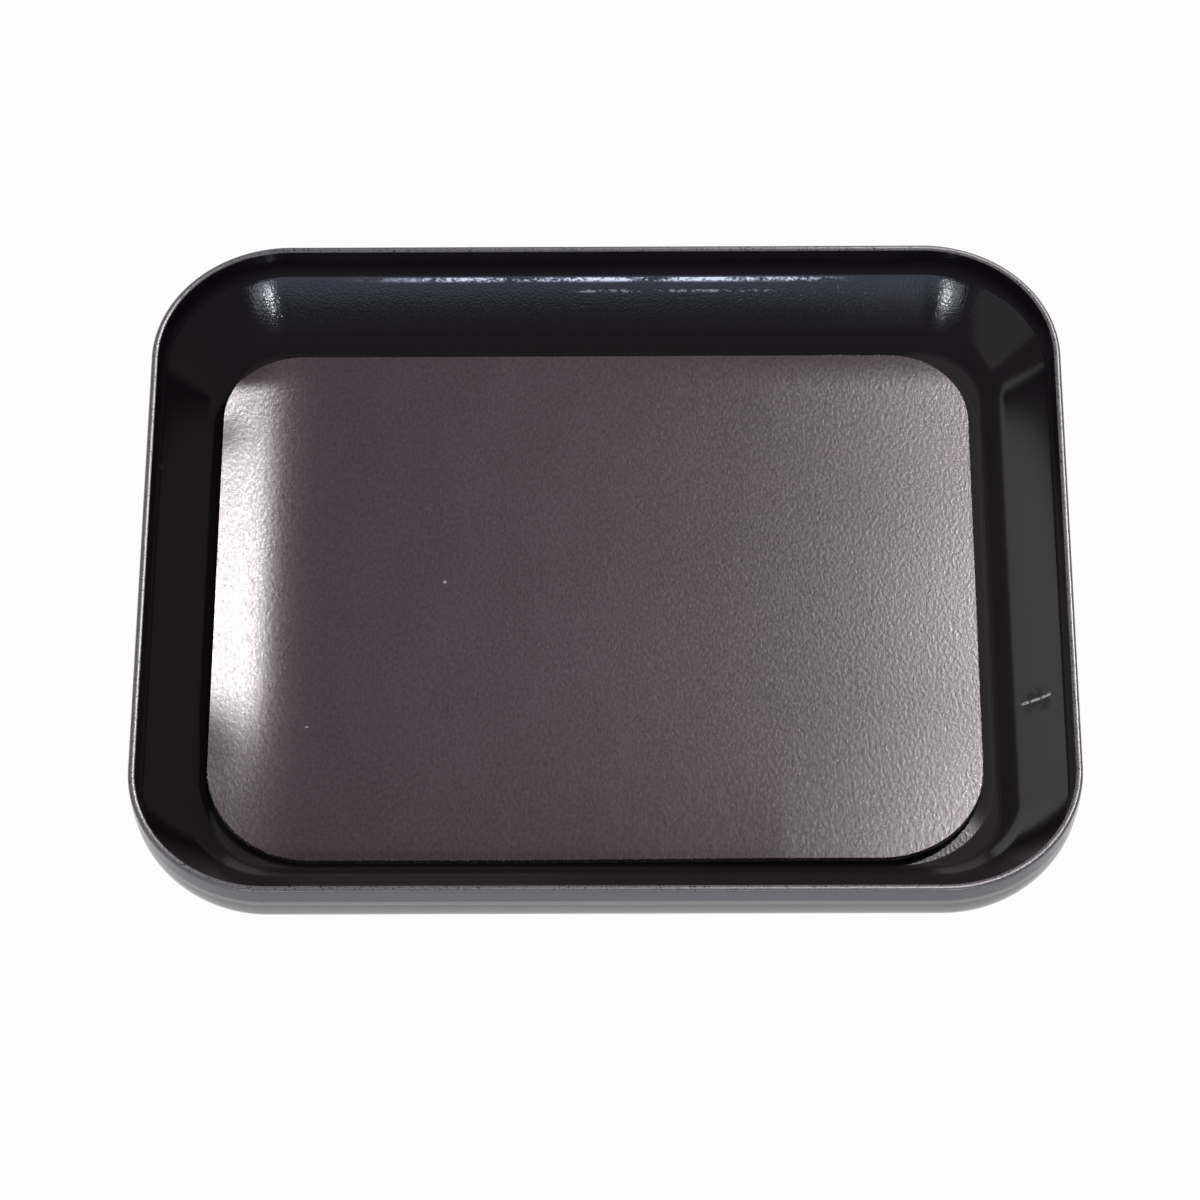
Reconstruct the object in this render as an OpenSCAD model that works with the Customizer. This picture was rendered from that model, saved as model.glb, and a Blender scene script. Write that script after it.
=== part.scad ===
// Magnetic parts tray: a pressed shallow pan with a flexible magnet sheet lying on its floor.
// Millimetres. The origin is at the centre of the base, +X runs along the longer side,
// +Y along the shorter side, and +Z points up out of the pan.

/* [Pan] */
// Width over the rim
pan_w = 107; // [80:0.5:200]
// Depth over the rim
pan_d = 88; // [70:0.5:160]
// Height from the base to the rim
pan_h = 11.4; // [9:0.1:20]
// Corner radius in plan, at the outside of the rim
pan_corner = 15.9; // [12:0.1:30]
// Sheet thickness of the floor and the bend
wall = 1.1; // [0.7:0.1:2]
// Inside radius of the bend between the floor and the wall
bend_r = 7.7; // [5:0.1:9]

/* [Lip] */
// Height of the lip on the inside, from the rim down to its crease
lip_in = 4.4; // [3:0.1:6]
// Height of the lip on the outside, from the rim down to its step
lip_out = 3; // [1.5:0.1:4]
// How much thinner the rim is than the floor
lip_thin = 0.35; // [0.1:0.05:0.45]
// Width and height of the shoulder at the foot of the lip, inside
shoulder = 0.35; // [0.25:0.05:0.6]
// How far the bend stands in from the outside of the lip
lip_step = 0.14; // [0.05:0.01:0.4]
// Rounding of the outer edge of the rim
rim_round = 0.25; // [0.05:0.05:0.3]

/* [Liner] */
// Thickness of the magnet sheet
core_t = 0.68; // [0.4:0.02:1.5]
// Thickness of the face film
film_t = 0.12; // [0.05:0.01:0.3]
// Bare floor between the liner and the bend at the right
gap_right = 1.5; // [0.3:0.1:8]
// Bare floor between the liner and the bend at the near side
gap_near = 0.36; // [0.3:0.02:8]
// Bare floor between the liner and the bend at the far side
gap_far = 0.46; // [0.3:0.02:8]
// Corner radius of the liner at the near side
corner_near = 12; // [8:0.5:20]
// Corner radius of the liner at the far side
corner_far = 9.5; // [8:0.5:20]

/* [Curled edge] */
// How far the curled left edge reaches out over the bend
curl_reach = 0.9; // [0:0.1:2]
// Length of the curl, from the left edge to where the liner lies flat
curl_len = 8.4; // [4:0.1:20]
// Height of the curled edge above the bend
curl_lift = 0.55; // [0.3:0.05:1.5]

/* [Hidden] */
$fn = 96;

// How far a cutting shape runs past what it cuts
over = 1;

// Wall section: inset is measured inwards from the outside of the lip, height up from the base
bend_inset = lip_step + wall + bend_r;
bend_z = wall + bend_r;
bend_out_r = bend_r + wall;
crease_z = pan_h - lip_in;
crease_dip = max(bend_z - crease_z, 0);
crease_inset = bend_inset - sqrt(bend_r * bend_r - crease_dip * crease_dip);
step_z = pan_h - lip_out;
rim_w = wall - lip_thin;

// Centres of the corner arcs
corner_x = pan_w / 2 - pan_corner;
corner_y = pan_d / 2 - pan_corner;

// Edges of the flat floor, and of the liner on it
floor_x = pan_w / 2 - bend_inset;
floor_y = pan_d / 2 - bend_inset;
liner_left = -floor_x - curl_reach;
liner_right = floor_x - gap_right;
liner_near = -floor_y + gap_near;
liner_far = floor_y - gap_far;

// The curl is an arc that rises over the bend and still clears it by curl_lift
bend_rise = bend_r - sqrt(bend_r * bend_r - curl_reach * curl_reach);
curl_rise = bend_rise + curl_lift;
curl_r = (curl_len * curl_len + curl_rise * curl_rise) / (2 * curl_rise);
curl_start = liner_left + curl_len;
liner_top = wall + core_t + film_t + curl_rise;

// Section of the pan's metal: the pressed blank from outside, without the air above it
module wall_section() {
    difference() {
        section_outside();
        section_air();
        rim_edge_cut();
    }
}

// Everything inside the outer skin: the lip's block, the bend and the floor
module section_outside() {
    intersection() {
        square([pan_corner, pan_h]);
        union() {
            translate([0, step_z]) square([pan_corner, lip_out]);
            translate([lip_step, bend_z]) square([pan_corner, pan_h]);
            translate([bend_inset, bend_z]) circle(r = bend_out_r);
            translate([bend_inset, 0]) square([pan_corner, pan_h]);
        }
    }
}

// The hollow: the bend, the wall over it, the lip with its shoulder, and the space over the floor
module section_air() {
    translate([bend_inset, bend_z]) circle(r = bend_r);
    translate([bend_inset - bend_r, bend_z]) square([bend_r, max(crease_z - bend_z, shoulder)]);
    polygon([
        [rim_w, pan_h + over],
        [rim_w, pan_h],
        [crease_inset - shoulder, crease_z + shoulder],
        [crease_inset + shoulder, crease_z - shoulder],
        [bend_inset, crease_z - shoulder],
        [bend_inset, pan_h + over]
    ]);
    translate([bend_inset, wall]) square([pan_corner, pan_h]);
}

// What the rounded outer edge of the rim loses
module rim_edge_cut() {
    translate([0, pan_h - rim_round])
        difference() {
            translate([-over, 0]) square([over + rim_round, rim_round + over]);
            translate([rim_round, 0]) circle(r = rim_round);
            translate([-over, -over]) square([over * 2, over]);
        }
}

// One straight side of the pan, standing at the distance reach from the middle
module side(length, reach) {
    translate([length / 2, -reach, 0])
        rotate([90, 0, -90])
            linear_extrude(height = length)
                mirror([1, 0])
                    wall_section();
}

// One corner of the pan, turned about its own axis
module corner() {
    rotate_extrude(angle = 90)
        translate([pan_corner, 0])
            mirror([1, 0])
                wall_section();
}

module tray_pan() {
    color([0.09, 0.085, 0.09]) {
        side(2 * corner_x, pan_d / 2);
        rotate(180) side(2 * corner_x, pan_d / 2);
        rotate(90) side(2 * corner_y, pan_w / 2);
        rotate(-90) side(2 * corner_y, pan_w / 2);
        translate([corner_x, corner_y]) corner();
        translate([-corner_x, corner_y]) rotate(90) corner();
        translate([-corner_x, -corner_y]) rotate(180) corner();
        translate([corner_x, -corner_y]) rotate(-90) corner();
        translate([-corner_x, -corner_y, 0]) cube([2 * corner_x, 2 * corner_y, wall]);
    }
}

// Plan of the liner: a rectangle whose near and far corners have their own radii
module liner_plan() {
    difference() {
        translate([liner_left, liner_near])
            square([liner_right - liner_left, liner_far - liner_near]);
        corner_cut(liner_left, liner_near, 0, corner_near);
        corner_cut(liner_right, liner_near, 90, corner_near);
        corner_cut(liner_right, liner_far, 180, corner_far);
        corner_cut(liner_left, liner_far, -90, corner_far);
    }
}

// What one rounded corner loses, for a corner at x, y that opens towards turn
module corner_cut(x, y, turn, r) {
    translate([x, y])
        rotate(turn)
            difference() {
                translate([-over, -over]) square(r + over);
                translate([r, r]) circle(r = r);
                translate([r, -over * 2]) square([over * 2, r + over * 3]);
                translate([-over * 2, r]) square([r + over * 3, over * 2]);
            }
}

// Section of one layer of the liner, from height low to height high over the floor
module layer_section(low, high) {
    translate([curl_start, wall + low])
        square([liner_right - curl_start + over, high - low]);
    intersection() {
        translate([curl_start, wall + curl_r])
            difference() {
                circle(r = curl_r - low, $fn = 720);
                circle(r = curl_r - high, $fn = 720);
            }
        translate([liner_left - over, 0]) square([curl_len + over, liner_top + over]);
    }
}

// One layer of the liner, cut to its plan
module liner_layer(low, high) {
    intersection() {
        translate([0, liner_far + over, 0])
            rotate([90, 0, 0])
                linear_extrude(height = liner_far - liner_near + 2 * over)
                    layer_section(low, high);
        linear_extrude(height = liner_top + over) liner_plan();
    }
}

module magnet_core() {
    color([0.2, 0.17, 0.17]) liner_layer(0, core_t);
}

module face_film() {
    color([0.35, 0.3, 0.32]) liner_layer(core_t, core_t + film_t);
}

tray_pan();
magnet_core();
face_film();
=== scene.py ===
"""Looks of a magnetic parts tray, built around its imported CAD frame.

The tray is a pressed black pan with a ground rim. A loose magnet sheet with a satin face lies on its floor.
Sizes in the classes are millimetres, and meshes are made in metres, the frame's own unit.
"""

import logging
import math
from dataclasses import dataclass, field
from enum import Enum
from typing import Any, Mapping, Sequence, Union

import bmesh
import bpy
from mathutils import Matrix, Vector


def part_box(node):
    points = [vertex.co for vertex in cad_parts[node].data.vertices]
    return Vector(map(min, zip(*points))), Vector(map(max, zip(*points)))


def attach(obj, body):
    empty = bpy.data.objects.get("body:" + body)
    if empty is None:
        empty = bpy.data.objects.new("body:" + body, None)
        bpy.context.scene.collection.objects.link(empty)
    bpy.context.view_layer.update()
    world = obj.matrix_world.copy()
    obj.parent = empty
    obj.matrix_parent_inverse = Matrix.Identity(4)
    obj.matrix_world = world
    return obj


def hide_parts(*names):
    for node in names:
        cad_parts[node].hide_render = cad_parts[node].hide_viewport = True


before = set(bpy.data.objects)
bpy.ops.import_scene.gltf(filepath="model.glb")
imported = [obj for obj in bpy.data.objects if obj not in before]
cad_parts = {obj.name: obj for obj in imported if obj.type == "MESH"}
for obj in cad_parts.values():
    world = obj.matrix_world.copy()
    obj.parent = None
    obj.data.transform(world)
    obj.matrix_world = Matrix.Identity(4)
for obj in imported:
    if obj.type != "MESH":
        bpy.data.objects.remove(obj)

LOG = logging.getLogger("parts_tray")

MM = 0.001
PAN_BODY = "pan"
LINER_BODY = "liner"
SPOT_CORE = 0.4
RANDOM_FLOAT = 1
RANDOM_BOOLEAN = 3

Colour = tuple[float, float, float]
Point = tuple[float, float]
Place = tuple[float, float, float]
Number = Union[float, "Term"]
Key = Union[str, int]
Settings = Union[Mapping[str, Any], None]
Sockets = Union[Mapping[Key, Any], None]
Socket = bpy.types.NodeSocket


class Slot(Enum):
    """The record's material slots."""

    COAT = "black_coat"
    RUBBER = "magnet_rubber"
    FILM = "taupe_film"


@dataclass(frozen=True)
class Speckle:
    """A noise pattern: size of its grains in millimetres, finer layers, shift, and bend of its grains."""

    grain: Place
    layers: float = 2.0
    shift: float = 0.0
    wave: float = 0.0


def add_node(tree: bpy.types.NodeTree, kind: str, settings: Settings, sockets: Sockets) -> bpy.types.Node:
    """Adds one node to a tree.

    Args:
        tree: The tree.
        kind: The node's type.
        settings: The node's own properties, set first.
        sockets: Values or other nodes' sockets for its inputs, by name or number.

    Returns:
        The node.
    """
    node = tree.nodes.new(kind)
    for name, value in (settings or {}).items():
        setattr(node, name, value)
    for key, value in (sockets or {}).items():
        if isinstance(value, Socket):
            tree.links.new(value, node.inputs[key])
        else:
            node.inputs[key].default_value = value
    return node


class Term:
    """A shader socket that takes part in Python arithmetic."""

    def __init__(self, graph: "ShaderGraph", socket: Socket) -> None:
        """Wraps one output socket of a node in graph."""
        self.graph = graph
        self.socket = socket

    def __add__(self, other: Number) -> "Term":
        """Sum of two values."""
        return self.graph.math("ADD", self, other)

    def __sub__(self, other: Number) -> "Term":
        """Difference of two values."""
        return self.graph.math("SUBTRACT", self, other)

    def __rsub__(self, other: float) -> "Term":
        """A number minus this value."""
        return self.graph.math("SUBTRACT", other, self)

    def __mul__(self, other: Number) -> "Term":
        """Product of two values."""
        return self.graph.math("MULTIPLY", self, other)

    def __abs__(self) -> "Term":
        """Size of the value without its sign."""
        return self.graph.math("ABSOLUTE", self)

    __radd__ = __add__
    __rmul__ = __mul__

    def at_least(self, low: Number) -> "Term":
        """The larger of the value and low."""
        return self.graph.math("MAXIMUM", self, low)

    def at_most(self, high: Number) -> "Term":
        """The smaller of the value and high."""
        return self.graph.math("MINIMUM", self, high)

    def root(self) -> "Term":
        """Square root of the value."""
        return self.graph.math("SQRT", self)

    def ramp(self, low: float, high: float) -> "Term":
        """Smooth step of the value.

        Args:
            low: Value that gives 0.
            high: Value that gives 1. It may lie below low, which turns the step round.

        Returns:
            A value from 0 to 1.
        """
        sockets = {"Value": self, "From Min": min(low, high), "From Max": max(low, high)}
        rising = self.graph.add("ShaderNodeMapRange", {"interpolation_type": "SMOOTHSTEP"}, sockets)
        return rising if low < high else 1 - rising


class ShaderGraph:
    """A material's node tree, written as expressions."""

    def __init__(self, name: str) -> None:
        """Makes an empty material of that name."""
        self.material = bpy.data.materials.new(name)
        self.material.use_nodes = True
        self.tree = self.material.node_tree
        self.tree.nodes.clear()

    def add(self, kind: str, settings: Settings = None, sockets: Sockets = None, output: Key = 0) -> Term:
        """Adds one node, with values or terms for its inputs, and gives one of its outputs."""
        given = (sockets or {}).items()
        plain = {key: value.socket if isinstance(value, Term) else value for key, value in given}
        return Term(self, add_node(self.tree, kind, settings, plain).outputs[output])

    def math(self, operation: str, *values: Number) -> Term:
        """Adds a Math node on the values."""
        return self.add("ShaderNodeMath", {"operation": operation}, dict(enumerate(values)))

    def vector(self, operation: str, *values: Any, output: Key = 0) -> Term:
        """Adds a Vector Math node on the values."""
        return self.add("ShaderNodeVectorMath", {"operation": operation}, dict(enumerate(values)), output)

    def place(self) -> Term:
        """Object coordinates in millimetres."""
        own = self.add("ShaderNodeTexCoord", output="Object")
        return self.add("ShaderNodeVectorMath", {"operation": "SCALE"}, {0: own, "Scale": 1 / MM})

    def axes(self, vector: Term) -> tuple[Term, Term, Term]:
        """The three parts of a vector."""
        split = self.add("ShaderNodeSeparateXYZ", sockets={0: vector})
        outputs = split.socket.node.outputs
        return Term(self, outputs[0]), Term(self, outputs[1]), Term(self, outputs[2])

    def noise(self, place: Term, pattern: Speckle) -> Term:
        """Noise of a given pattern.

        Args:
            place: Coordinates in millimetres.
            pattern: Size and form of its grains. Two patterns with different shifts differ.

        Returns:
            A value around 0.5.
        """
        scale = tuple(1 / size for size in pattern.grain)
        shift = (pattern.shift,) * 3
        moved = self.add("ShaderNodeMapping", sockets={0: place, "Location": shift, "Scale": scale})
        sockets = {"Vector": moved, "Scale": 1.0, "Detail": pattern.layers, "Distortion": pattern.wave}
        return self.add("ShaderNodeTexNoise", sockets=sockets)

    def blend(self, share: Number, low: Any, high: Any) -> Term:
        """Mix of two colours, which are the node's inputs 6 and 7 and its output 2."""
        sockets = {0: share, 6: self.rgba(low), 7: self.rgba(high)}
        return self.add("ShaderNodeMix", {"data_type": "RGBA"}, sockets, 2)

    @staticmethod
    def rgba(colour: Any) -> Any:
        """A colour with its alpha, or a term as it is."""
        return colour if isinstance(colour, Term) else (*colour, 1.0)

    def stroke(self, place: Term, start: Place, end: Place, width: float) -> Term:
        """Mask of a straight scratch.

        Args:
            place: Coordinates in millimetres.
            start: One end of the scratch.
            end: The other end.
            width: Its full width.

        Returns:
            1 on the scratch and 0 away from it.
        """
        middle = (Vector(start) + Vector(end)) / 2
        along = (Vector(end) - Vector(start)).normalized()
        reach = (Vector(end) - Vector(start)).length / 2
        away = self.vector("SUBTRACT", place, tuple(middle))
        run = self.vector("DOT_PRODUCT", away, tuple(along), output="Value")
        dist = self.vector("LENGTH", away, output="Value")
        side = (dist * dist - run * run).at_least(0.0).root()
        return side.ramp(width / 2, width / 4) * abs(run).ramp(reach, reach - width / 2)

    def spot(self, place: Term, centre: Place, radius: float) -> Term:
        """Mask of a round mark: 1 at its centre and 0 from its radius on."""
        dist = self.vector("DISTANCE", place, centre, output="Value")
        return dist.ramp(radius, radius * SPOT_CORE)

    def inset(self, place: Term, half: Point, corner: float) -> Term:
        """Distance in from a rounded rectangle in plan, for places near its edge.

        Args:
            place: Coordinates in millimetres.
            half: Half the rectangle's width and depth.
            corner: Radius of its corners.

        Returns:
            The distance, positive inside.
        """
        x, y, _ = self.axes(place)
        across = (abs(x) - (half[0] - corner)).at_least(0.0)
        along = (abs(y) - (half[1] - corner)).at_least(0.0)
        return corner - (across * across + along * along).root()

    def bump(self, height: Term) -> Term:
        """Normal from a height in millimetres."""
        return self.add("ShaderNodeBump", sockets={"Distance": MM, "Height": height})

    def surface(self, sockets: Mapping[str, Any]) -> bpy.types.Material:
        """Ends the material in a Principled shader.

        Args:
            sockets: Values or terms for the shader's inputs.

        Returns:
            The finished material.
        """
        return self.close(self.add("ShaderNodeBsdfPrincipled", sockets=sockets))

    def close(self, shader: Term) -> bpy.types.Material:
        """Puts a shader out as the material's surface."""
        end = self.tree.nodes.new("ShaderNodeOutputMaterial")
        self.tree.links.new(shader.socket, end.inputs["Surface"])
        return self.material


def at(base: float, edge: Point) -> Point:
    """Both ends of a soft edge, moved to a place."""
    return base + edge[0], base + edge[1]


@dataclass(frozen=True)
class PaintedHighlightBand:
    """A band of bare metal along the far wall, painted as a highlight line of the crease: its reach along X
    and its heights.
    """

    reach: Point
    ends: Point
    heights: Point
    sides: Point
    patchy: float
    cover: Point
    strength: float = 1.0

    def mask(self, graph: ShaderGraph, place: Term, fine: Term, patch: Term) -> Term:
        """Mask of the bare metal that is painted as a highlight line.

        Args:
            graph: The coat's graph.
            place: Coordinates in millimetres.
            fine: Fine noise, which breaks the band up.
            patch: Coarse noise, which makes it patchy.

        Returns:
            The band's strength where metal shows, and 0 elsewhere.
        """
        x, _, z = graph.axes(place)
        left, right = self.reach
        low, high = self.heights
        along = x.ramp(left, left + self.ends[0]) * x.ramp(right, right - self.ends[1])
        across = z.ramp(low, low + self.sides[0]) * z.ramp(high, high - self.sides[1])
        return along * across * (fine + patch * self.patchy).ramp(*self.cover) * self.strength


@dataclass(frozen=True)
class BlackCoat:
    """Glossy black coating over pressed sheet metal, gritty where it was drawn and worn at the edges, with
    painted reflection, painted light and painted highlights in some zones.

    A field that ends in edge gives the two ends of a soft border, as distances from what the border follows.
    """

    colour: Colour = (0.0118, 0.0092, 0.0112)
    # Painted reflection: the outside of the wall is the same black coat, coloured grey above the step and a
    # lighter olive grey below it, for the white floor that it reflects.
    upper_outside_reflection_colour: Colour = (0.15, 0.15, 0.162)
    lower_outside_reflection_colour: Colour = (0.265, 0.265, 0.235)
    # Painted light: the inner lip above the crease is the same black coat, coloured lighter for the light it
    # reflects.
    inner_lip_painted_light_colour: Colour = (0.042, 0.034, 0.042)
    # Painted light: the near inner wall is the same black coat, coloured lighter for the light it reflects.
    near_wall_painted_light_colour: Colour = (0.062, 0.051, 0.057)
    rim_colour: Colour = (0.33, 0.323, 0.327)
    worn_colour: Colour = (0.05, 0.05, 0.055)
    bed_colour: Colour = (0.016, 0.0135, 0.0125)
    # Painted highlight: a pale line along the edge of the flat floor, faint all round and full in the bright
    # near right corner, for the floor's edge catching the light.
    painted_bed_highlight_colour: Colour = (0.11, 0.1, 0.092)
    # Painted highlight: bright bare metal in broken bands along the far crease and below it, standing for the
    # crease's highlight lines.
    crease_highlight_metal_colour: Colour = (0.66, 0.66, 0.68)
    scratch_colour: Colour = (0.9, 0.89, 0.88)
    ior: float = 1.5
    floor_rough: float = 0.55
    bed_gloss: float = 0.17
    wall_gloss: float = 0.12
    rim_gloss: float = 0.24
    rim_metal: float = 0.3
    crease_highlight_metal_rough: float = 0.34
    scratch_rough: float = 0.4
    scuff_rough: float = 0.2
    grit: Speckle = Speckle((0.24, 0.24, 0.24), 1, 2.0)
    grit_depth: float = 0.004
    far_grit_depth: float = 0.013
    rim_gaps: Point = (0.2, 0.5)
    inside_edge: Point = (0.9, 1.2)
    outside_edge: Point = (0.5, 0.2)
    floor_edge: Point = (0.25, 0.05)
    rim_edge: Point = (-0.2, -0.05)
    lip_edge: Point = (0.1, 0.4)
    step_edge: Point = (0.0, -0.1)
    near_side: float = -33.0
    near_edge: Point = (0.0, -4.0)
    far_side: float = 40.0
    far_edge: Point = (-3.0, -1.0)
    bed_half: Point = (44.15, 35.0)
    bed_corner: float = 10.7
    bed_edge: Point = (-0.04, 0.04)
    painted_bed_highlight_edge: Point = (0.11, 0.03)
    painted_bed_highlight_share: float = 0.2
    bed_streak: Speckle = Speckle((0.3, 0.6, 0.6), 0, 6.0)
    bed_depth: float = 0.006
    bright_bed: Place = (38.5, -33.0, 1.1)
    bright_radius: float = 7.5
    # Painted highlight bands of bare metal on the far wall.
    crease_highlight_band: PaintedHighlightBand = PaintedHighlightBand((-34.0, 31.0), (18.0, 9.0), (6.3, 6.86), (0.3, 0.1), 0.7, (0.66, 1.02))
    lower_highlight_band: PaintedHighlightBand = PaintedHighlightBand((-9.0, 24.0), (8.0, 8.0), (5.5, 5.82), (0.1, 0.1), 0.8, (0.88, 1.1), 0.5)
    highlight_fine: Speckle = Speckle((0.45, 0.45, 0.22), 3)
    highlight_patch: Speckle = Speckle((5.0, 5.0, 5.0), 2, 9.0)
    highlight_edge: Point = (-1.0, 0.0)
    base_lines: Speckle = Speckle((5.0, 0.16, 5.0), 3)
    base_cover: Point = (0.62, 0.72)
    base_edge: Point = (0.4, 0.02)
    base_share: float = 0.5
    smudge: Place = (-52.3, 15.6, 6.9)
    smudge_radius: float = 0.7
    smudge_share: float = 0.6
    scratch: tuple[Point, ...] = ((47.5, -14.9), (48.6, -15.0), (49.8, -15.1), (50.9, -15.1))
    scratch_width: float = 0.46
    dashes: Speckle = Speckle((0.4, 0.4, 0.4), 1, 7.0)
    dash_cover: Point = (0.34, 0.44)
    scuffs: tuple[Point, ...] = ((49.4, -14.4), (50.1, -15.9), (48.3, -14.6), (48.6, -15.6))
    scuff_radius: float = 1.3
    scuff_patch: Speckle = Speckle((1.1, 1.1, 1.1), 1, 3.0)
    scuff_cover: Point = (0.3, 0.6)

    def material(self, pan: "PressedPan") -> bpy.types.Material:
        """The coating, with its zones set by height and its wear and painted highlight bands by place.

        Args:
            pan: The pan, whose height and outline place the zones.

        Returns:
            The material.
        """
        graph = ShaderGraph("black_coat")
        place = graph.place()
        zones = CoatZones(self, graph, place, pan)
        grit = graph.noise(place, self.grit)
        streak = graph.noise(place, self.bed_streak)
        depth = self.grit_depth + zones.far * (self.far_grit_depth - self.grit_depth)
        relief = zones.inside * (1 - zones.floor) * grit * depth + zones.bright * streak * self.bed_depth
        return graph.surface({
            "Base Color": self._colour(graph, zones, grit),
            "Metallic": (zones.crease_highlight_metal + zones.rim * self.rim_metal).at_most(1.0),
            "Roughness": self._roughness(zones),
            "IOR": self.ior,
            "Normal": graph.bump(relief),
        })

    def _colour(self, graph: ShaderGraph, zones: "CoatZones", grit: Term) -> Term:
        """The coat's colour, zone over zone and marks last, painted reflection, light and highlights among
        them.
        """
        # Painted reflection of the white floor on the outside of the wall: grey above the step, lighter below
        # it.
        outside = graph.blend(zones.below, self.upper_outside_reflection_colour, self.lower_outside_reflection_colour)
        # Painted highlight line along the floor's edge, strongest where the floor is bright.
        painted_bed_highlight = zones.painted_bed_highlight * (self.painted_bed_highlight_share + zones.bright * (1 - self.painted_bed_highlight_share))
        layers = (
            # painted light on the near inner wall
            (zones.near, self.near_wall_painted_light_colour),
            # painted light on the inner lip
            (zones.lip, self.inner_lip_painted_light_colour),
            (zones.outside, outside),
            (zones.bed, self.bed_colour),
            (painted_bed_highlight, self.painted_bed_highlight_colour),
            (zones.worn, self.worn_colour),
            (zones.rim * grit.ramp(*self.rim_gaps), self.rim_colour),
            # painted highlight: bare-metal bands along the far crease
            (zones.crease_highlight_metal, self.crease_highlight_metal_colour),
            (zones.scratch, self.scratch_colour),
        )
        colour: Any = self.colour
        for share, over in layers:
            colour = graph.blend(share, colour, over)
        return colour

    def _roughness(self, zones: "CoatZones") -> Term:
        """The coat's roughness: the wall's, plus what each zone adds to it."""
        rough = self.wall_gloss + zones.floor * (self.floor_rough - self.wall_gloss)
        rough = rough + zones.bright * (self.bed_gloss - self.floor_rough) + zones.scuff * self.scuff_rough
        for zone, own in (
            (zones.rim, self.rim_gloss),
            (zones.crease_highlight_metal, self.crease_highlight_metal_rough),
            (zones.scratch, self.scratch_rough),
        ):
            rough = rough + zone * (own - self.wall_gloss)
        return rough


class CoatZones:
    """Masks of the places where the coat differs."""

    def __init__(self, coat: BlackCoat, graph: ShaderGraph, place: Term, pan: "PressedPan") -> None:
        """Makes the masks.

        Args:
            coat: The coat, whose fields say where its zones end.
            graph: The coat's graph.
            place: Coordinates in millimetres.
            pan: The pan, whose height and outline place the zones.
        """
        self.coat, self.graph, self.place, self.pan = coat, graph, place, pan
        _, along, height = graph.axes(place)
        inset = graph.inset(place, (pan.width / 2, pan.depth / 2), pan.corner)
        bed_inset = graph.inset(place, coat.bed_half, coat.bed_corner)
        self.inside = inset.ramp(*coat.inside_edge)
        # The outside of the wall and the part below its step, where the floor's reflection is painted.
        self.outside = inset.ramp(*coat.outside_edge)
        self.below = height.ramp(*at(pan.height - pan.lip_out, coat.step_edge))
        self.rim = height.ramp(*at(pan.height, coat.rim_edge))
        # The inner lip, where its reflected light is painted.
        self.lip = height.ramp(*at(pan.crease[1], coat.lip_edge)) * self.inside
        # The near inner wall, where its reflected light is painted.
        self.near = along.ramp(*at(coat.near_side, coat.near_edge)) * self.inside
        self.far = along.ramp(*at(coat.far_side, coat.far_edge))
        self.floor = height.ramp(*at(pan.wall, coat.floor_edge))
        self.bed = bed_inset.ramp(*coat.bed_edge) * self.floor
        self.bright = self.bed * graph.spot(place, coat.bright_bed, coat.bright_radius)
        # The floor's edge line, where its highlight is painted.
        self.painted_bed_highlight = abs(bed_inset).ramp(*coat.painted_bed_highlight_edge) * self.floor
        # Bare-metal bands along the far crease, painted as its highlight lines.
        self.crease_highlight_metal = self._highlight_bands(along).at_most(1.0) * self.inside
        self.worn = self._worn(height)
        self.scratch = self._scratch()
        self.scuff = self._scuff()

    def _highlight_bands(self, along: Term) -> Term:
        """Mask of the bare-metal bands painted as highlight lines along the far crease, and fainter below it.
        """
        coat, graph, place = self.coat, self.graph, self.place
        fine = graph.noise(place, coat.highlight_fine)
        patch = graph.noise(place, coat.highlight_patch)
        crease = coat.crease_highlight_band.mask(graph, place, fine, patch)
        lower = coat.lower_highlight_band.mask(graph, place, fine, patch)
        return (crease + lower) * along.ramp(*at(coat.far_side, coat.highlight_edge))

    def _worn(self, height: Term) -> Term:
        """Mask of the rubbed base and of the smudge on the left wall."""
        coat, graph, place = self.coat, self.graph, self.place
        rubbed = height.ramp(*coat.base_edge) * graph.noise(place, coat.base_lines).ramp(*coat.base_cover)
        smudge = graph.spot(place, coat.smudge, coat.smudge_radius)
        return (rubbed * coat.base_share + smudge * coat.smudge_share).at_most(1.0)

    def _scratch(self) -> Term:
        """Mask of the broken scratch across the right wall."""
        coat, graph, place = self.coat, self.graph, self.place
        dashes = graph.noise(place, coat.dashes).ramp(*coat.dash_cover)
        points = [self.pan.on_wall(*point) for point in coat.scratch]
        pairs = zip(points, points[1:])
        strokes = [graph.stroke(place, start, end, coat.scratch_width) for start, end in pairs]
        return sum(strokes[1:], strokes[0]).at_most(1.0) * dashes

    def _scuff(self) -> Term:
        """Mask of the dulled patch round the scratch."""
        coat, graph, place = self.coat, self.graph, self.place
        spots = [graph.spot(place, self.pan.on_wall(*point), coat.scuff_radius) for point in coat.scuffs]
        uneven = graph.noise(place, coat.scuff_patch).ramp(*coat.scuff_cover)
        return sum(spots[1:], spots[0]).at_most(1.0) * uneven


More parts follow.
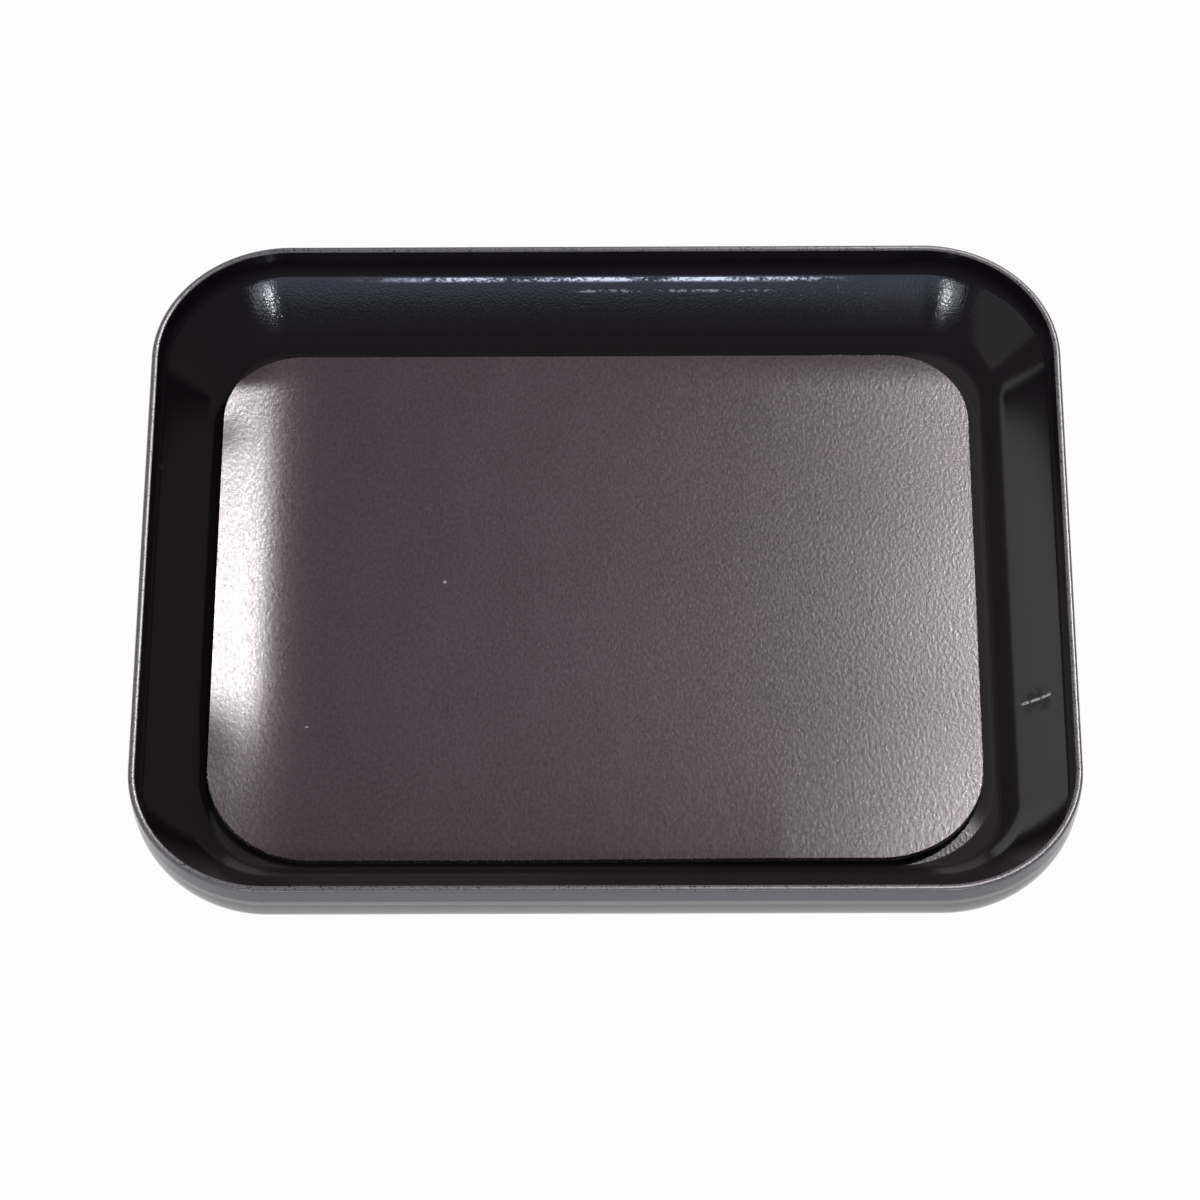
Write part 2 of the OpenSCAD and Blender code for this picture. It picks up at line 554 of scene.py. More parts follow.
@dataclass(frozen=True)
class SatinFilm:
    """Satin taupe face of the magnet sheet, with a fine grain along the short side."""

    dark: Colour = (0.122, 0.083, 0.094)
    light: Colour = (0.164, 0.112, 0.127)
    speck_colour: Colour = (0.8, 0.78, 0.76)
    ior: float = 1.55
    gloss: float = 0.164
    glint: Speckle = Speckle((0.2, 0.45, 0.45), 1, 12.0)
    glint_least: float = 0.5
    grain: Speckle = Speckle((0.23, 0.38, 0.38), 0, wave=0.3)
    coarse_grain: Speckle = Speckle((0.42, 0.62, 0.62), 0, 8.0, 0.3)
    fine_share: float = 0.38
    grain_depth: float = 0.006
    grain_cover: Point = (0.36, 0.64)
    grain_tone: float = 0.7
    cloud: Speckle = Speckle((9.0, 14.0, 9.0), 2, 5.0)
    cloud_cover: Point = (0.3, 0.7)
    specks: tuple[tuple[Place, float], ...] = (((-18.8, 2.55, 1.9), 0.28), ((-34.3, -17.1, 1.9), 0.2))

    def material(self) -> bpy.types.Material:
        """The film's material."""
        graph = ShaderGraph("taupe_film")
        place = graph.place()
        coarse = graph.noise(place, self.coarse_grain)
        streak = graph.noise(place, self.grain) * self.fine_share + coarse * (1 - self.fine_share)
        cloud = graph.noise(place, self.cloud).ramp(*self.cloud_cover)
        tone = streak.ramp(*self.grain_cover) * self.grain_tone + cloud * (1 - self.grain_tone)
        colour = graph.blend(tone, self.dark, self.light)
        for centre, radius in self.specks:
            colour = graph.blend(graph.spot(place, centre, radius), colour, self.speck_colour)
        return graph.surface({
            "Base Color": colour,
            "Roughness": self.gloss * (self.glint_least + graph.noise(place, self.glint)),
            "IOR": self.ior,
            "Normal": graph.bump(streak * self.grain_depth),
        })


@dataclass(frozen=True)
class FerriteRubber:
    """Dark ferrite rubber with knife-cut sides."""

    dark: Colour = (0.075, 0.066, 0.07)
    light: Colour = (0.2, 0.185, 0.19)
    rough: float = 0.55
    powder_rough: float = 0.15
    cut: Speckle = Speckle((0.5, 0.5, 0.09), 3)
    cut_depth: float = 0.012
    powder: Speckle = Speckle((0.12, 0.12, 0.12), 2, 4.0)
    tone_cover: Point = (0.35, 0.65)

    def material(self) -> bpy.types.Material:
        """The rubber's material."""
        graph = ShaderGraph("magnet_rubber")
        place = graph.place()
        lines = graph.noise(place, self.cut)
        powder = graph.noise(place, self.powder)
        tone = ((lines + powder) * 0.5).ramp(*self.tone_cover)
        return graph.surface({
            "Base Color": graph.blend(tone, self.dark, self.light),
            "Roughness": self.rough + powder * self.powder_rough,
            "Normal": graph.bump(lines * self.cut_depth),
        })


@dataclass(frozen=True)
class CutFleck:
    """Pale torn flecks along a cut edge."""

    name: str
    dark: Colour = (0.16, 0.15, 0.15)
    light: Colour = (0.62, 0.6, 0.58)
    rough: float = 0.45
    light_rough: float = 0.1
    metallic: float = 0.0
    mottle: Speckle = Speckle((0.3, 0.3, 0.3))
    tone_cover: Point = (0.4, 0.62)

    def material(self) -> bpy.types.Material:
        """The flecks' material."""
        graph = ShaderGraph(self.name)
        tone = graph.noise(graph.place(), self.mottle).ramp(*self.tone_cover)
        return graph.surface({
            "Base Color": graph.blend(tone, self.dark, self.light),
            "Roughness": self.rough + tone * self.light_rough,
            "Metallic": self.metallic,
        })


class GeometryTree:
    """A Geometry Nodes tree that is run once and turned into a plain mesh."""

    def __init__(self, name: str) -> None:
        """Makes an empty tree with one geometry output."""
        self.tree = bpy.data.node_groups.new(name, "GeometryNodeTree")
        self.tree.interface.new_socket("Geometry", in_out="OUTPUT", socket_type="NodeSocketGeometry")
        self.inputs = self.tree.nodes.new("NodeGroupInput")
        self.values: dict[str, Any] = {}

    def given(self, name: str, kind: str, value: Any) -> Socket:
        """Adds a named input.

        Args:
            name: The input's name.
            kind: Its type, such as Float or Object.
            value: What the modifier sets it to.

        Returns:
            The socket inside the tree.
        """
        made = self.tree.interface.new_socket(name, in_out="INPUT", socket_type=f"NodeSocket{kind}")
        self.values[made.identifier] = value
        return self.inputs.outputs[name]

    def add(self, kind: str, settings: Settings = None, sockets: Sockets = None, output: Key = 0) -> Socket:
        """Adds one node, named without its GeometryNode prefix, and gives one of its outputs."""
        known = kind if kind.startswith(("ShaderNode", "FunctionNode")) else f"GeometryNode{kind}"
        return add_node(self.tree, known, settings, sockets).outputs[output]

    def run(self, name: str, geometry: Socket, material: bpy.types.Material) -> bpy.types.Object:
        """Runs the tree and keeps its mesh.

        Args:
            name: Name of the piece.
            geometry: What the tree puts out.
            material: The finish of the piece.

        Returns:
            An object with a plain mesh and no modifier.
        """
        finish = self.given("Finish", "Material", material)
        real = self.add("RealizeInstances", sockets={0: geometry})
        dressed = self.add("SetMaterial", sockets={"Geometry": real, "Material": finish})
        end = self.tree.nodes.new("NodeGroupOutput")
        self.tree.links.new(dressed, end.inputs[0])
        piece = new_object(name, bpy.data.meshes.new(f"{name}_seed"))
        modifier = piece.modifiers.new("build", "NODES")
        modifier.node_group = self.tree
        for identifier, value in self.values.items():
            modifier[identifier] = value
        graph = bpy.context.evaluated_depsgraph_get()
        mesh = bpy.data.meshes.new_from_object(piece.evaluated_get(graph), depsgraph=graph)
        piece.modifiers.remove(modifier)
        mesh.name = name
        piece.data = mesh
        return piece


def new_object(name: str, data: bpy.types.ID) -> bpy.types.Object:
    """Links a new object to the scene."""
    made = bpy.data.objects.new(name, data)
    bpy.context.scene.collection.objects.link(made)
    return made


def line_object(name: str, points: Sequence[Place], closed: bool) -> bpy.types.Object:
    """A straight-segment curve for a tree to follow.

    Args:
        name: Name of the curve.
        points: Its points, in metres.
        closed: Whether its last point joins its first.

    Returns:
        The curve object.
    """
    data = bpy.data.curves.new(name, "CURVE")
    data.dimensions = "3D"
    spline = data.splines.new("POLY")
    spline.points.add(len(points) - 1)
    for target, (x, y, z) in zip(spline.points, points):
        target.co = (x, y, z, 1.0)
    spline.use_cyclic_u = closed
    return new_object(name, data)


def settle(piece: bpy.types.Object, body: str, slot: Slot, *nodes: str) -> None:
    """Ties a finished piece to the frame.

    Args:
        piece: The piece.
        body: The body that it moves with.
        slot: The record's material slot; not used.
        nodes: CAD nodes that it stands for.
    """
    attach(piece, body)
    if nodes:
        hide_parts(*nodes)
    LOG.info("%s: %d faces on %s", piece.name, len(piece.data.polygons), body)


def close_shell(mesh: bpy.types.Mesh) -> None:
    """Drops a mesh's loose points, fills its open loops, faces it outwards and shades it smooth."""
    shell = bmesh.new()
    shell.from_mesh(mesh)
    bmesh.ops.delete(shell, geom=[v for v in shell.verts if not v.link_faces], context="VERTS")
    loops = [edge for edge in shell.edges if edge.is_boundary]
    if loops:
        bmesh.ops.holes_fill(shell, edges=loops, sides=0)
    bmesh.ops.recalc_face_normals(shell, faces=shell.faces)
    shell.to_mesh(mesh)
    shell.free()
    mesh.shade_smooth()


def arc(centre: Point, radius: float, start: float, end: float, steps: int) -> list[Point]:
    """Points along an arc.

    Args:
        centre: Its centre.
        radius: Its radius.
        start: First angle, in degrees.
        end: Last angle, in degrees.
        steps: Number of segments.

    Returns:
        One point more than there are segments.
    """
    angles = [math.radians(start + (end - start) * i / steps) for i in range(steps + 1)]
    return [(centre[0] + radius * math.cos(a), centre[1] + radius * math.sin(a)) for a in angles]


def softened(before: Point, corner: Point, after: Point, radius: float, steps: int = 5) -> list[Point]:
    """A corner of an outline, rounded.

    Args:
        before: A point on the outline before the corner.
        corner: The corner.
        after: A point on the outline after it.
        radius: Radius of the rounding.
        steps: Number of segments.

    Returns:
        Points from the start of the rounding to its end.
    """
    middle = Vector(corner)
    first = (Vector(before) - middle).normalized()
    last = (Vector(after) - middle).normalized()
    half = first.angle(last) / 2
    centre = middle + (first + last).normalized() * (radius / math.sin(half))
    tangent = radius / math.tan(half)
    start, end = middle + first * tangent - centre, middle + last * tangent - centre
    turn = start.angle_signed(end)
    made = [centre + Matrix.Rotation(-turn * i / steps, 2) @ start for i in range(steps + 1)]
    return [tuple(point) for point in made]


def between(start: Point, end: Point, share: float) -> Point:
    """A point part of the way from one point to another."""
    return start[0] + (end[0] - start[0]) * share, start[1] + (end[1] - start[1]) * share


def smooth(share: float) -> float:
    """Smooth step from 0 to 1."""
    kept = min(1.0, max(0.0, share))
    return kept * kept * (3 - 2 * kept)


@dataclass
class EdgeFlecks:
    """Small torn flecks scattered along an edge."""

    name: str
    points: list[Place]
    closed: bool
    spacing: float
    chance: float
    smallest: float
    largest: float
    stretch: float
    seed: int

    def build(self, material: bpy.types.Material) -> bpy.types.Object:
        """Scatters the flecks along the edge.

        Args:
            material: Their finish.

        Returns:
            One mesh with all the flecks.
        """
        points = [tuple(c * MM for c in point) for point in self.points]
        line = line_object(f"{self.name}_line", points, self.closed)
        tree = GeometryTree(self.name)
        source = tree.given("Edge", "Object", line)
        edge = tree.add("ObjectInfo", sockets={"Object": source}, output="Geometry")
        spacing = tree.given("Spacing", "Float", self.spacing * MM)
        steps = tree.add("ResampleCurve", {"mode": "LENGTH"}, {"Curve": edge, "Length": spacing})
        seed = tree.given("Seed", "Int", self.seed)
        odds = {"Probability": tree.given("Chance", "Float", self.chance), "Seed": seed}
        chosen = tree.add("FunctionNodeRandomValue", {"data_type": "BOOLEAN"}, odds, RANDOM_BOOLEAN)
        smallest = tree.given("Smallest", "Float", self.smallest * MM)
        largest = tree.given("Largest", "Float", self.largest * MM)
        limits = {2: smallest, 3: largest, "Seed": seed}
        size = tree.add("FunctionNodeRandomValue", {"data_type": "FLOAT"}, limits, RANDOM_FLOAT)
        stretch = tree.given("Stretch", "Float", self.stretch)
        long = tree.add("ShaderNodeMath", {"operation": "MULTIPLY"}, {0: size, 1: stretch})
        shape = tree.add("ShaderNodeCombineXYZ", sockets={0: size, 1: size, 2: long})
        tangent = tree.add("InputTangent")
        turn = tree.add("FunctionNodeAlignRotationToVector", {"axis": "Z"}, {"Vector": tangent})
        fleck = tree.add("MeshIcoSphere", sockets={"Radius": 0.5, "Subdivisions": 1})
        placing = {"Points": steps, "Selection": chosen, "Instance": fleck, "Rotation": turn, "Scale": shape}
        sown = tree.add("InstanceOnPoints", sockets=placing)
        piece = tree.run(self.name, sown, material)
        bpy.data.objects.remove(line)
        return piece


@dataclass
class PressedPan:
    """The pressed pan: floor, bend, lip and ground rim, swept round a rounded rectangle."""

    low: Vector = field(default_factory=lambda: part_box("tray_pan")[0] / MM)
    high: Vector = field(default_factory=lambda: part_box("tray_pan")[1] / MM)
    corner: float = 15.9
    wall: float = 1.1
    bend: float = 7.7
    bend_out: float = 8.0
    foot_tilt: float = 18.0
    foot_round: float = 0.3
    turn_tilt: float = 38.0
    turn_run: float = 2.9
    crease_inset: float = 1.42
    lip_in: float = 4.7
    lip_out: float = 2.4
    lip_thin: float = 0.35
    lip_step: float = 0.14
    shoulder: float = 0.25
    rim_round: float = 0.25
    edge_round: float = 0.06
    weld: float = 0.02
    crease_round: float = 0.12
    support: float = 0.4
    edge_support: float = 0.1
    lip_supports: Point = (0.2, 0.96)
    rim_steps: int = 8
    bend_steps: int = 44
    corner_steps: int = 40
    burr_steps: int = 12
    burr_inset: float = 0.72
    burr_drop: float = 0.03

    @property
    def width(self) -> float:
        """Width over the rim."""
        return self.high.x - self.low.x

    @property
    def depth(self) -> float:
        """Depth over the rim."""
        return self.high.y - self.low.y

    @property
    def height(self) -> float:
        """Height from the base to the rim."""
        return self.high.z - self.low.z

    @property
    def bend_inset(self) -> float:
        """Distance from the outside of the lip in to the flat floor."""
        return self.lip_step + self.wall + self.bend

    @property
    def crease(self) -> Point:
        """Inset and height of the crease under the lip."""
        return self.crease_inset, self.height - self.lip_in

    def cove(self) -> list[Point]:
        """The inner wall from the floor's edge up to the crease: a short bend, then a long slow one.

        Returns:
            Points as inset from the outside of the lip, and height.
        """
        foot, turn = math.radians(self.foot_tilt), math.radians(self.turn_tilt)
        radius = self.turn_run / (math.sin(turn) - math.sin(foot))
        centre = (self.bend_inset + radius * math.sin(foot), self.wall + radius * math.cos(foot))
        first = arc(centre, radius, 270 - self.foot_tilt, 270 - self.turn_tilt, self.bend_steps // 2)
        start, end = first[-1], self.crease
        chord = Vector((start[0] - end[0], end[1] - start[1]))
        half = math.atan2(chord.y, chord.x) - turn
        slow = chord.length / (2 * math.sin(half))
        slow_centre = (start[0] + slow * math.sin(turn), start[1] + slow * math.cos(turn))
        last_tilt = self.turn_tilt + math.degrees(2 * half)
        return first + arc(slow_centre, slow, 270 - self.turn_tilt, 270 - last_tilt, self.bend_steps // 2)[1:]

    def on_wall(self, x: float, y: float) -> Place:
        """The place on the right inner wall above a point in plan."""
        inset = self.width / 2 - x
        points = self.cove()
        for low, high in zip(points, points[1:]):
            if high[0] <= inset <= low[0]:
                share = (low[0] - inset) / (low[0] - high[0])
                return x, y, low[1] + share * (high[1] - low[1])
        return x, y, self.wall

    def section(self) -> list[Point]:
        """The wall's section, from the floor over the rim to the base.

        Returns:
            Points as inset from the outside of the lip, and height.
        """
        floor = (self.bend_inset + self.support, self.wall)
        foot = (self.bend_inset, self.wall)
        crease = self.crease
        shelf = (crease[0] - self.shoulder, crease[1] + self.shoulder)
        inner = (self.wall - self.lip_thin, self.height)
        outer = (0.0, self.height)
        step_z = self.height - self.lip_out
        step = (0.0, step_z)
        tuck = (self.lip_step, step_z)
        out_centre = (self.lip_step + self.bend_out, self.bend_out)
        inside = self.cove()
        outside = arc(out_centre, self.bend_out, 180, 270, self.bend_steps)
        tight = self.edge_round
        return [
            floor,
            *softened(floor, foot, inside[1], self.foot_round),
            *inside[1:-1],
            *softened(inside[-2], crease, shelf, self.crease_round),
            *softened(crease, shelf, inner, self.crease_round),
            *(between(shelf, inner, share) for share in self.lip_supports),
            *softened(shelf, inner, outer, tight),
            *softened(inner, outer, step, self.rim_round, self.rim_steps),
            (0.0, self.height - self.rim_round - self.edge_support),
            (0.0, step_z + tight + self.edge_support),
            *softened(outer, step, tuck, tight),
            tuck,
            *outside,
            (floor[0], 0.0),
        ]

    def build(self, finish: BlackCoat) -> None:
        """Sweeps the section round the pan and closes the floor and the base, as one shell."""
        outline = [(-inset * MM, -height * MM, 0.0) for inset, height in self.section()]
        profile = line_object("pan_section", outline, closed=False)
        tree = GeometryTree("pressed_pan")
        section = tree.given("Section", "Object", profile)
        shape = tree.add("ObjectInfo", sockets={"Object": section}, output="Geometry")
        ring = tree.add("CurveToMesh", sockets={"Curve": self._outline(tree), "Profile Curve": shape})
        weld = tree.given("Weld", "Float", self.weld * MM)
        shell = tree.add("MergeByDistance", sockets={"Geometry": ring, "Distance": weld})
        piece = tree.run("pan_shell", shell, finish.material(self))
        bpy.data.objects.remove(profile)
        close_shell(piece.data)
        settle(piece, PAN_BODY, Slot.COAT, "tray_pan")

    def _outline(self, tree: GeometryTree) -> Socket:
        """The rim's outside in plan, a rounded rectangle, as a closed curve of the tree."""
        width = tree.given("Width", "Float", self.width * MM)
        depth = tree.given("Depth", "Float", self.depth * MM)
        radius = tree.given("Corner", "Float", self.corner * MM)
        steps = tree.given("Corner Steps", "Int", self.corner_steps)
        box = tree.add("CurvePrimitiveQuadrilateral", sockets={"Width": width, "Height": depth})
        fillet = {"Curve": box, "Count": steps, "Radius": radius}
        round_box = tree.add("FilletCurve", {"mode": "POLY"}, fillet)
        return tree.add("SetCurveNormal", {"mode": "Z_UP"}, {"Curve": round_box})

    def burr_line(self) -> list[Place]:
        """Points round the inner edge of the rim."""
        radius = self.corner - self.burr_inset
        level = self.height - self.burr_drop
        x, y = self.width / 2 - self.corner, self.depth / 2 - self.corner
        corners = [((x, y), 0), ((-x, y), 90), ((-x, -y), 180), ((x, -y), 270)]
        flat = [p for centre, turn in corners for p in arc(centre, radius, turn, turn + 90, self.burr_steps)]
        return [(px, py, level) for px, py in flat]

    def build_burrs(self, finish: CutFleck) -> None:
        """The burrs that grinding left on the inner edge of the rim."""
        flecks = EdgeFlecks(
            name="rim_burrs",
            points=self.burr_line(),
            closed=True,
            spacing=0.18,
            chance=0.22,
            smallest=0.03,
            largest=0.09,
            stretch=1.8,
            seed=11,
        )
        settle(flecks.build(finish.material()), PAN_BODY, Slot.COAT)


@dataclass
class MagnetLiner:
    """The loose magnet sheet: a rubber core with a satin face, curled up along its left edge."""

    core_low: Vector = field(default_factory=lambda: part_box("magnet_core")[0] / MM)
    film_low: Vector = field(default_factory=lambda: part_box("face_film")[0] / MM)
    film_high: Vector = field(default_factory=lambda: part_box("face_film")[1] / MM)
    film: float = 0.12
    corner_near: float = 12.0
    corner_far: float = 9.5
    curl_start: float = -32.1
    curl_length: float = 11.0
    curl_tilt: float = 7.3
    curl_near: float = -34.0
    curl_fade: float = 23.0
    curl_least: float = 0.55
    curl_far: float = 30.0
    curl_far_least: float = 0.5
    dents: tuple[tuple[Place, float], ...] = (((-46.6, 24.4, -0.062), 2.1), ((-46.8, -21.5, -0.055), 2.6))
    overhang: float = 0.02
    warp_start: float = 14.0
    warp_near: float = 0.0017
    warp_far: float = 0.0009
    droop_start: float = 20.0
    droop: float = 0.2
    roll_start: float = 30.0
    roll: float = 0.013
    side_start: float = -10.0
    side_run: float = 30.0
    edge_cut: float = 0.05
    core_cut: float = 0.01
    sharp_angle: float = 25.0
    fleck_end: float = 26.0
    top_fleck_drop: float = 0.03
    foot_fleck_level: float = 0.3
    corner_steps: int = 22
    middle_steps: int = 90
    rows: int = 100

    @property
    def core(self) -> float:
        """Thickness of the rubber."""
        return self.film_low.z - self.core_low.z

    @property
    def left(self) -> float:
        """The sheet's left edge, a little over the bend."""
        return self.film_low.x - self.overhang

    def lift(self, x: float, y: float) -> float:
        """Height of the sheet's underside above the pan's floor.

        Args:
            x: Place along X.
            y: Place along Y.

        Returns:
            The height, which grows smoothly to the left and fades in the near corner.
        """
        run = max(0.0, (self.curl_start - x) / self.curl_length)
        bent = min(run, 1.0)
        rise = bent**3 - bent**4 / 2 + max(0.0, run - 1.0)
        share = self.curl_least + (1 - self.curl_least) * smooth((y - self.curl_near) / self.curl_fade)
        fade = smooth((y - self.curl_far) / (self.film_high.y - self.curl_far))
        share *= 1 - (1 - self.curl_far_least) * fade
        curl = math.tan(math.radians(self.curl_tilt)) * self.curl_length * rise * share
        for (dent_x, dent_y, depth), spread in self.dents:
            curl += depth * math.exp(-((x - dent_x) ** 2 + (y - dent_y) ** 2) / (2 * spread**2))
        side = min(1.0, max(0.0, (x - self.side_start) / self.side_run))
        beyond = max(0.0, x - self.droop_start) / (self.film_high.x - self.droop_start)
        side *= 1 - self.droop * beyond**2
        warp = self.warp_near if y < 0 else self.warp_far
        rolled = self.roll / 2 * max(0.0, y - self.roll_start) ** 2
        return curl + side * (warp / 2 * max(0.0, abs(y) - self.warp_start) ** 2 - rolled)

    def columns(self, inset: float) -> list[float]:
        """Places of the mesh's columns along X, closer together in the corners."""
        left, right = self.left + inset, self.film_high.x - inset
        radius = self.corner_near - inset
        turns = [math.radians(90 * i / self.corner_steps) for i in range(self.corner_steps + 1)]
        first = [left + radius * (1 - math.cos(a)) for a in turns]
        last = [right - radius * (1 - math.cos(a)) for a in reversed(turns)]
        gap = (last[0] - first[-1]) / self.middle_steps
        return first + [first[-1] + gap * i for i in range(1, self.middle_steps)] + last

    def span(self, x: float, inset: float) -> Point:
        """Nearest and farthest Y of the sheet's plan at one X.

        Args:
            x: Place along X.
            inset: How far the plan is drawn in.

        Returns:
            The near and the far edge.
        """
        left, right = self.left + inset, self.film_high.x - inset
        reach = min(x - left, right - x)
        cuts = []
        for radius in (self.corner_near - inset, self.corner_far - inset):
            back = max(0.0, radius - reach)
            cuts.append(radius - math.sqrt(max(0.0, radius**2 - back**2)))
        return self.film_low.y + inset + cuts[0], self.film_high.y - inset - cuts[1]

    def edge_line(self, level: float) -> list[Place]:
        """Points along the near and right cut edges and round the far right corner.

        Args:
            level: Height over the sheet's underside.

        Returns:
            The points, from the near left corner on.
        """
        columns = self.columns(0.0)
        near = [(x, self.span(x, 0.0)[0]) for x in columns]
        far = [(x, self.span(x, 0.0)[1]) for x in reversed(columns) if x > self.fleck_end]
        return [(x, y, self.core_low.z + level + self.lift(x, y)) for x, y in near + far]

    def layer(self, name: str, low: float, high: float, cut: float) -> bpy.types.Object:
        """One layer of the sheet as a closed mesh.

        Args:
            name: Name of the piece.
            low: Height of its underside over the floor where the sheet lies flat.
            high: Height of its top there.
            cut: Width of the chamfer along its top edge.

        Returns:
            The layer's object.
        """
        count = len(self.columns(0.0))
        points: list[Place] = []
        for inset, level in ((cut, high), (0.0, high - cut), (0.0, low)):
            for x in self.columns(inset):
                near, far = self.span(x, inset)
                for row in range(self.rows + 1):
                    y = near + (far - near) * row / self.rows
                    points.append((x * MM, y * MM, (self.core_low.z + level + self.lift(x, y)) * MM))
        step = self.rows + 1
        grid = count * step
        top = [self._cell(i, j, step, 0) for i in range(count - 1) for j in range(self.rows)]
        bottom = [self._cell(i, j, step, 2 * grid)[::-1] for i in range(count - 1) for j in range(self.rows)]
        rim = self._rim(count, step)
        sides = [
            (a + up * grid, a + (up + 1) * grid, b + (up + 1) * grid, b + up * grid)
            for up in (0, 1)
            for a, b in zip(rim, rim[1:] + rim[:1])
        ]
        mesh = bpy.data.meshes.new(name)
        mesh.from_pydata(points, [], top + bottom + sides)
        close_shell(mesh)
        mesh.set_sharp_from_angle(angle=math.radians(self.sharp_angle))
        return new_object(name, mesh)

    @staticmethod
    def _cell(column: int, row: int, step: int, start: int) -> tuple[int, int, int, int]:
        """Corners of one cell of a grid of points."""
        first = start + column * step + row
        return first, first + step, first + step + 1, first + 1

    @staticmethod
    def _rim(count: int, step: int) -> list[int]:
        """Numbers of the points round a grid's edge, in order."""
        near = [i * step for i in range(count)]
        right = [(count - 1) * step + j for j in range(1, step)]
        far = [i * step + step - 1 for i in range(count - 2, -1, -1)]
        left = [j for j in range(step - 2, 0, -1)]
        return near + right + far + left

    def build(self, film: SatinFilm, rubber: FerriteRubber) -> None:
        """Makes the face film and the rubber core.

        Args:
            film: Finish of the face.
            rubber: Finish of the core.
        """
        face = self.layer("liner_face", self.core, self.core + self.film, self.edge_cut)
        face.data.materials.append(film.material())
        settle(face, LINER_BODY, Slot.FILM, "face_film")
        core = self.layer("liner_core", 0.0, self.core, self.core_cut)
        core.data.materials.append(rubber.material())
        settle(core, LINER_BODY, Slot.RUBBER, "magnet_core")

    def build_flecks(self, finish: CutFleck) -> None:
        """The pale torn flecks along the top and the foot of the cut edge."""
        top = self.core + self.film - self.top_fleck_drop
        rows = (("liner_top_flecks", top, 0.5, 3), ("liner_foot_flecks", self.foot_fleck_level, 0.4, 5))
        for name, level, chance, seed in rows:
            flecks = EdgeFlecks(
                name=name,
                points=self.edge_line(level),
                closed=False,
                spacing=0.2,
                chance=chance,
                smallest=0.04,
                largest=0.11,
                stretch=2.2,
                seed=seed,
            )
            settle(flecks.build(finish.material()), LINER_BODY, Slot.RUBBER)


@dataclass(frozen=True)
class Lamp:
    """A soft panel, placed by its direction from the tray. Its distance and its size are in metres."""

    name: str
    azimuth: float
    elevation: float
    distance: float
    width: float
    height: float
    radiance: float
    colour: Colour = (1.0, 1.0, 1.0)
    turn: float = 0.0

    def light(self) -> None:
        """Sets the panel up, turned to the tray."""
        data = bpy.data.lights.new(self.name, "AREA")
        data.shape = "RECTANGLE"
        data.size, data.size_y = self.width, self.height
        data.energy = self.radiance * math.pi * self.width * self.height
        data.color = self.colour
        around, up = math.radians(self.azimuth), math.radians(self.elevation)
        away = Vector((math.sin(around) * math.cos(up), math.cos(around) * math.cos(up), math.sin(up)))
        made = new_object(self.name, data)
        made.location = away * self.distance
        spin = Matrix.Rotation(math.radians(self.turn), 3, "Z")
        made.rotation_euler = (away.to_track_quat("Z", "Y").to_matrix() @ spin).to_euler()


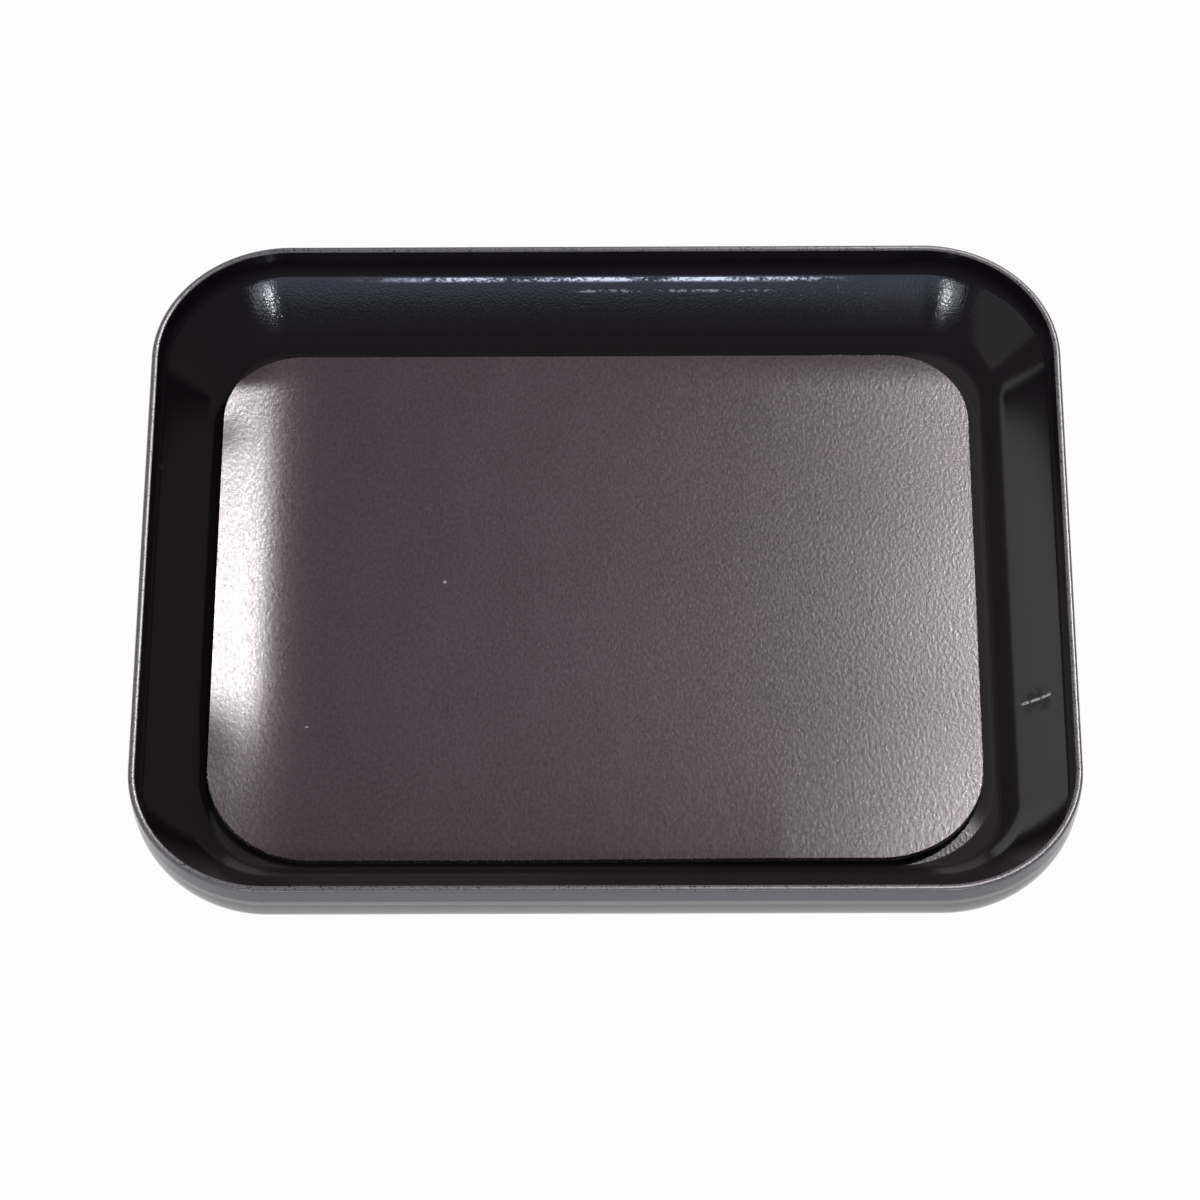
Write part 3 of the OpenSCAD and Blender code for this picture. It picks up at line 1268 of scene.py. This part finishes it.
@dataclass
class Studio:
    """The pale floor, the soft lamps and the camera of the photograph.

    The floor's size and the camera's clip are in metres.
    """

    rim_height: float
    camera_place: Place = (4.44, -326.74, 507.95)
    camera_aim: Place = (-0.0084, 0.53391, -0.8455)
    camera_roll: float = -0.9336
    lens: float = 157.75
    sensor: float = 36.0
    clip: Point = (0.01, 50.0)
    floor_size: float = 8.0
    floor_drop: float = 0.02
    floor_colour: Colour = (0.95, 0.95, 0.95)
    floor_glow: float = 0.97
    world_colour: Colour = (0.165, 0.147, 0.156)
    lamps: tuple[Lamp, ...] = (
        Lamp("key_panel", 13.9, 57.1, 3.0, 0.2, 0.21, 63.0, (1.0, 0.94, 0.955), turn=12.0),
        Lamp("key_halo", 13.9, 57.1, 3.2, 0.98, 0.98, 0.28, (1.0, 0.94, 0.955), turn=12.0),
        Lamp("left_board", -42.0, 9.5, 1.6, 1.17, 0.8, 0.72),
        Lamp("back_board", 0.0, 15.0, 1.6, 0.9, 0.7, 0.34),
        Lamp("left_high_board", -107.0, 27.0, 1.7, 1.5, 0.95, 0.32),
        Lamp("front_fill", 180.0, 28.0, 1.5, 1.0, 0.74, 1.25, (0.55, 0.7, 1.0)),
        Lamp("front_right_lamp", 165.5, 42.0, 1.5, 0.045, 0.03, 260.0, (0.92, 0.96, 1.0)),
        Lamp("front_left_lamp", -161.0, 42.0, 1.5, 0.045, 0.03, 260.0, (0.92, 0.96, 1.0)),
        Lamp("front_right_glow", 159.0, 39.5, 1.5, 0.36, 0.1, 5.0, (0.8, 0.9, 1.0), turn=14.0),
        Lamp("front_left_glow", -156.0, 39.5, 1.5, 0.36, 0.1, 5.0, (0.8, 0.9, 1.0), turn=-14.0),
    )

    def camera(self) -> None:
        """Sets the scene's camera up, at the photograph's viewing angle."""
        data = bpy.data.cameras.new("photo_camera")
        data.lens, data.sensor_width = self.lens, self.sensor
        data.clip_start, data.clip_end = self.clip
        made = new_object("photo_camera", data)
        x, y, z = self.camera_place
        made.location = Vector((x, y, z + self.rim_height)) * MM
        aim = Vector(self.camera_aim).to_track_quat("-Z", "Y").to_matrix()
        roll = Matrix.Rotation(math.radians(self.camera_roll), 3, "Z")
        made.rotation_euler = (aim @ roll).to_euler()
        bpy.context.scene.camera = made

    def floor(self) -> None:
        """The pale floor of the stage, white to the eye and in reflections, with the tray's soft shadow."""
        half = self.floor_size / 2
        mesh = bpy.data.meshes.new("studio_floor")
        corners = [(-half, -half, 0), (half, -half, 0), (half, half, 0), (-half, half, 0)]
        mesh.from_pydata(corners, [], [(0, 1, 2, 3)])
        graph = ShaderGraph("studio_floor")
        paint = graph.add("ShaderNodeBsdfDiffuse", sockets={"Color": (*self.floor_colour, 1.0)})
        glow = graph.add("ShaderNodeEmission", sockets={"Color": (1.0, 1.0, 1.0, 1.0), "Strength": 1.0})
        path = graph.add("ShaderNodeLightPath", output="Is Camera Ray")
        outputs = path.socket.node.outputs
        seen = path + Term(graph, outputs["Is Glossy Ray"]) + Term(graph, outputs["Is Transmission Ray"])
        share = seen.at_most(1.0) * self.floor_glow
        mixed = graph.add("ShaderNodeMixShader", sockets={0: share, 1: paint, 2: glow})
        mesh.materials.append(graph.close(mixed))
        made = new_object("studio_floor", mesh)
        made.location.z = -self.floor_drop * MM

    def world(self) -> None:
        """A dim even surround."""
        made = bpy.data.worlds.new("studio_surround")
        made.use_nodes = True
        ground = made.node_tree.nodes["Background"]
        ground.inputs["Color"].default_value = (*self.world_colour, 1.0)
        ground.inputs["Strength"].default_value = 1.0
        bpy.context.scene.world = made

    def build(self) -> None:
        """Sets up the camera, the floor, the surround and the lamps."""
        self.camera()
        self.floor()
        self.world()
        for lamp in self.lamps:
            lamp.light()
        bpy.context.scene.view_settings.view_transform = "Standard"


def main() -> None:
    """Builds the studio, the pan and the liner, in that order."""
    logging.basicConfig(level=logging.INFO, format="%(name)s %(message)s")
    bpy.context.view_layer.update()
    pan = PressedPan()
    Studio(rim_height=pan.height).build()
    pan.build(BlackCoat())
    pan.build_burrs(CutFleck("rim_burr", metallic=1.0))
    liner = MagnetLiner()
    liner.build(SatinFilm(), FerriteRubber())
    liner.build_flecks(CutFleck("liner_fleck"))


if __name__ == "__main__":
    main()
